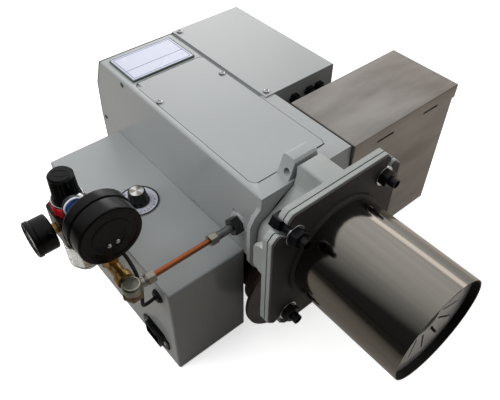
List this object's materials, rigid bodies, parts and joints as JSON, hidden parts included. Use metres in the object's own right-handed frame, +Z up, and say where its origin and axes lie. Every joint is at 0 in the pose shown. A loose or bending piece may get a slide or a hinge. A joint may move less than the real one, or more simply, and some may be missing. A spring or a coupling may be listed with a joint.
{
  "type": "waste oil burner",
  "caption": "Heating burner for waste oil with a square boiler flange, stainless blast tube, swing-up body, control box, day tank, fan, and air regulator with gauges.",
  "frame": {"origin": "centre of the boiler flange's front face on the axis of the blast tube", "axes": "-Y along the blast tube away from the flange, +Z up, -X towards the control box"},
  "size_m": [0.4871, 0.519, 0.2828],
  "materials": {
    "grey_paint": "semi-gloss",
    "grey_casting": "semi-gloss",
    "graphite_gasket": "matt",
    "black_steel": "satin",
    "zinc_steel": "bright zinc",
    "polished_stainless": "polished",
    "brushed_stainless": "brushed",
    "brass": "bare",
    "nickel_brass": "nickel plated",
    "brass_nut": "bare",
    "copper": "drawn copper",
    "ceramic": "glazed ceramic",
    "heat_steel": "drawn wire",
    "black_plastic": "satin",
    "black_rubber": "matt",
    "red_plastic": "gloss",
    "clear_plastic": "clear",
    "white_dial": "gloss",
    "turned_aluminium": "turned",
    "pointer_paint": "matt",
    "filter_bronze": "sintered",
    "grey_plastic": "satin"
  },
  "bodies": {
    "boiler_flange": {"flange_casting": "grey_casting", "mounting_flange": "grey_casting", "flange_gaskets": "graphite_gasket", "flange_bolts": "black_steel", "flange_nuts": "black_steel", "blast_tube": "polished_stainless", "tube_seal_ring": "graphite_gasket", "retention_head": "brushed_stainless", "nozzle": "brass", "nozzle_line": "nickel_brass", "electrode_rods": "heat_steel", "electrode_insulators": "ceramic", "hinge_pin": "zinc_steel"},
    "burner_body": {"access_cover": "grey_paint", "brass_tee": "brass", "bulkhead_bushing": "black_plastic", "bulkhead_stud": "nickel_brass", "bulkhead_washer": "zinc_steel", "burner_controller": "grey_plastic", "burner_housing": "grey_paint", "cabinet_base": "grey_paint", "cabinet_cover": "grey_paint", "cable_glands": "black_plastic", "cable_grommet": "black_rubber", "control_box_base": "grey_paint", "control_box_cover": "grey_paint", "copper_tube": "copper", "cover_screws": "zinc_steel", "elbow_fitting": "nickel_brass", "fan_housing": "black_steel", "filter_element": "filter_bronze", "ignition_transformer": "grey_plastic", "inlet_socket": "black_plastic", "large_gauge_case": "black_plastic", "large_gauge_lens": "clear_plastic", "motor_housing": "black_steel", "oil_port": "zinc_steel", "photocell": "black_plastic", "rear_cover": "black_steel", "regulator_body": "black_plastic", "regulator_bowl": "clear_plastic", "regulator_bracket": "zinc_steel", "regulator_ring": "red_plastic", "signal_cable": "black_plastic", "small_gauge_case": "black_plastic", "small_gauge_lens": "clear_plastic", "solenoid_valve": "black_plastic", "tank_heater": "brushed_stainless", "tank_shell": "brushed_stainless", "thermostat_body": "white_dial", "tube_nuts": "brass_nut"},
    "thermostat_knob_part": {"thermostat_knob": "turned_aluminium"},
    "regulator_knob_part": {"regulator_knob": "black_plastic"},
    "large_pointer_part": {"large_pointer": "pointer_paint"},
    "small_pointer_part": {"small_pointer": "pointer_paint"},
    "fan_wheel_part": {"fan_wheel": "zinc_steel"},
    "air_shutter_part": {"air_shutter": "black_steel"},
    "tank_lid_part": {"tank_lid": "brushed_stainless"},
    "tank_float_part": {"tank_float": "grey_plastic"},
    "drain_valve_part": {"drain_valve": "brass"}
  },
  "joints": [
    {"name": "burner_swing", "type": "hinge", "parent": "boiler_flange", "child": "burner_body", "pos_m": [0.01, 0.0645, 0.0575], "axis": [1, 0, 0], "range_deg": [0, 15]},
    {"name": "thermostat_turn", "type": "hinge", "parent": "burner_body", "child": "thermostat_knob_part", "pos_m": [-0.0983, 0.2195, -0.04], "axis": [0, 0, 1], "range_deg": [-270, 0]},
    {"name": "regulator_turn", "type": "hinge", "parent": "burner_body", "child": "regulator_knob_part", "pos_m": [-0.18, 0.207, 0.04], "axis": [0, 0, 1], "range_deg": [0, 720]},
    {"name": "large_pointer_turn", "type": "hinge", "parent": "burner_body", "child": "large_pointer_part", "pos_m": [-0.1772, 0.141, 0.0388], "axis": [0, -1, 0], "range_deg": [0, 270]},
    {"name": "small_pointer_turn", "type": "hinge", "parent": "burner_body", "child": "small_pointer_part", "pos_m": [-0.2245, 0.207, -0.011], "axis": [1, 0, 0], "range_deg": [0, 270]},
    {"name": "fan_spin", "type": "hinge", "parent": "burner_body", "child": "fan_wheel_part", "pos_m": [-0.005, 0.065, -0.112], "axis": [0, 1, 0], "continuous": true},
    {"name": "air_shutter_turn", "type": "hinge", "parent": "burner_body", "child": "air_shutter_part", "pos_m": [-0.005, 0.0487, -0.112], "axis": [0, 1, 0], "range_deg": [0, 45]},
    {"name": "tank_lid_lift", "type": "slide", "parent": "burner_body", "child": "tank_lid_part", "axis": [0, 0, 1], "range_m": [0, 0.04]},
    {"name": "float_rise", "type": "hinge", "parent": "burner_body", "child": "tank_float_part", "pos_m": [0.092, 0.102, -0.04], "axis": [0, -1, 0], "range_deg": [0, 25]},
    {"name": "drain_push", "type": "slide", "parent": "burner_body", "child": "drain_valve_part", "axis": [0, 0, 1], "range_m": [0, 0.0023], "stiffness_N_per_m": 300, "springref_m": -0.001}
  ],
  "couplings": [
    {"joint": "large_pointer_turn", "follows": "regulator_turn", "ratio": 0.375},
    {"joint": "small_pointer_turn", "follows": "regulator_turn", "ratio": 0.375}
  ]
}
